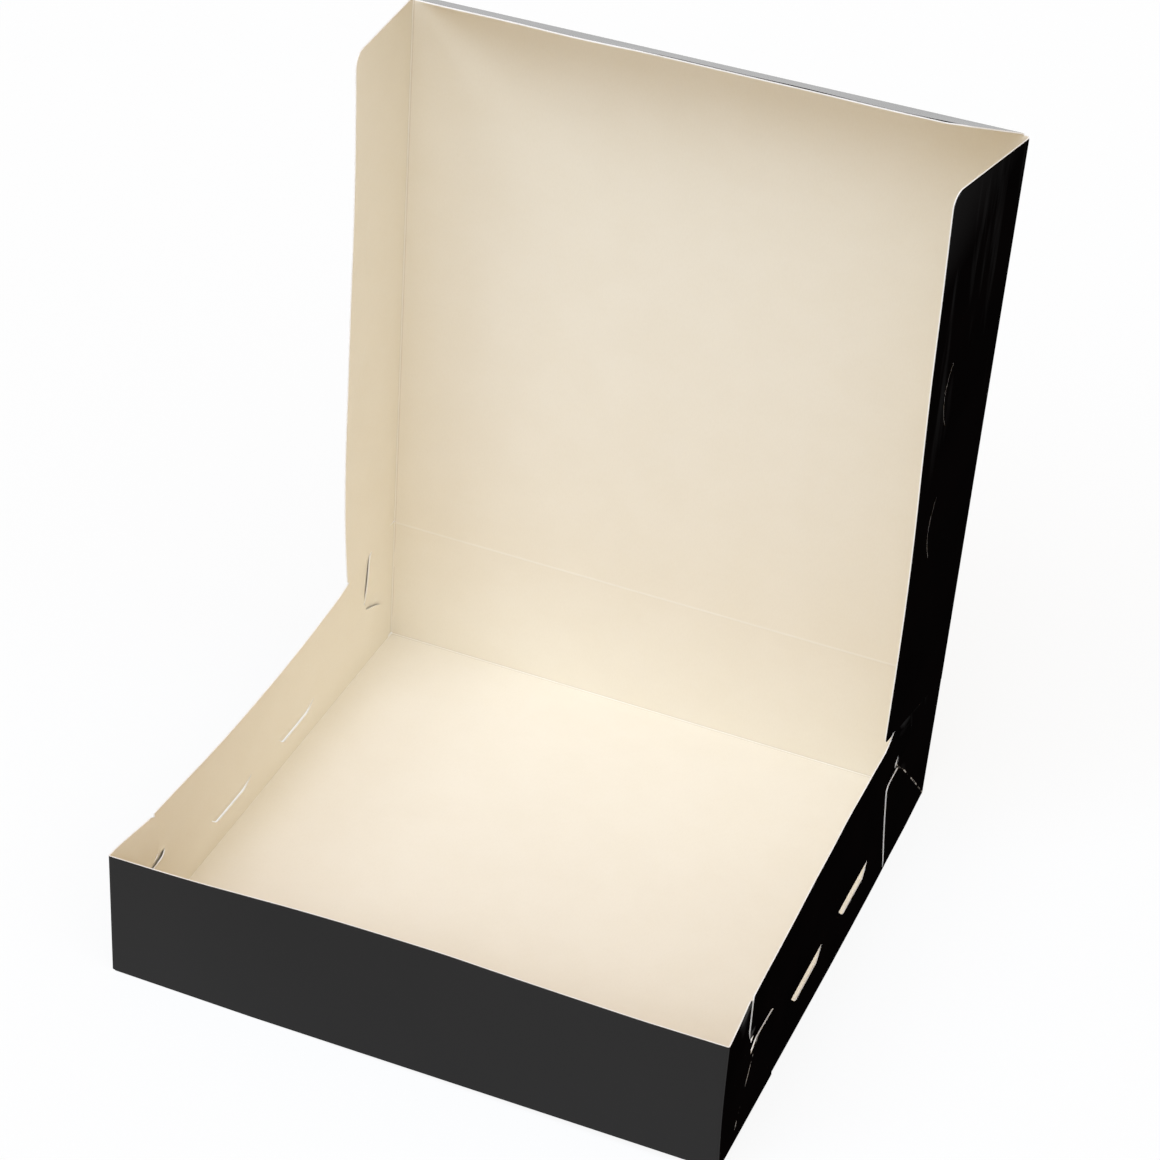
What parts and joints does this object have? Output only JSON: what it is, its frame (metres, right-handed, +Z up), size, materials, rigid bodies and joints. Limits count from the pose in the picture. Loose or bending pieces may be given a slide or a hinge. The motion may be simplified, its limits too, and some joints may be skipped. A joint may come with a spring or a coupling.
{
  "type": "cake box",
  "caption": "Shallow square cake box of folded board: a glued tray with lock slots in its side walls, and a hinged lid that closes with side flaps and a front tuck flap.",
  "frame": {"origin": "middle of the tray's square footprint, on the surface that it stands on", "axes": "+Z up, +Y towards the hinged rear wall, +X to the box's right as seen from the front"},
  "size_m": [0.25, 0.25, 0.3319],
  "materials": {
    "coated_board": "satin black coated outside, uncoated cream inside"
  },
  "bodies": {
    "tray": {"tray": "coated_board"},
    "lid": {"lid": "coated_board"},
    "tuck_flap": {"tuck_flap": "coated_board"}
  },
  "joints": [
    {"name": "lid_hinge", "type": "hinge", "parent": "tray", "child": "lid", "pos_m": [0, 0.12475, 0.06055], "axis": [1, 0, 0], "range_deg": [-90, 90]},
    {"name": "tuck_fold", "type": "hinge", "parent": "lid", "child": "tuck_flap", "pos_m": [0, 0.12475, 0.30905], "axis": [1, 0, 0], "range_deg": [-40, 40]}
  ],
  "couplings": [
    {"joint": "tuck_fold", "follows": "lid_hinge", "ratio": 0.44}
  ]
}
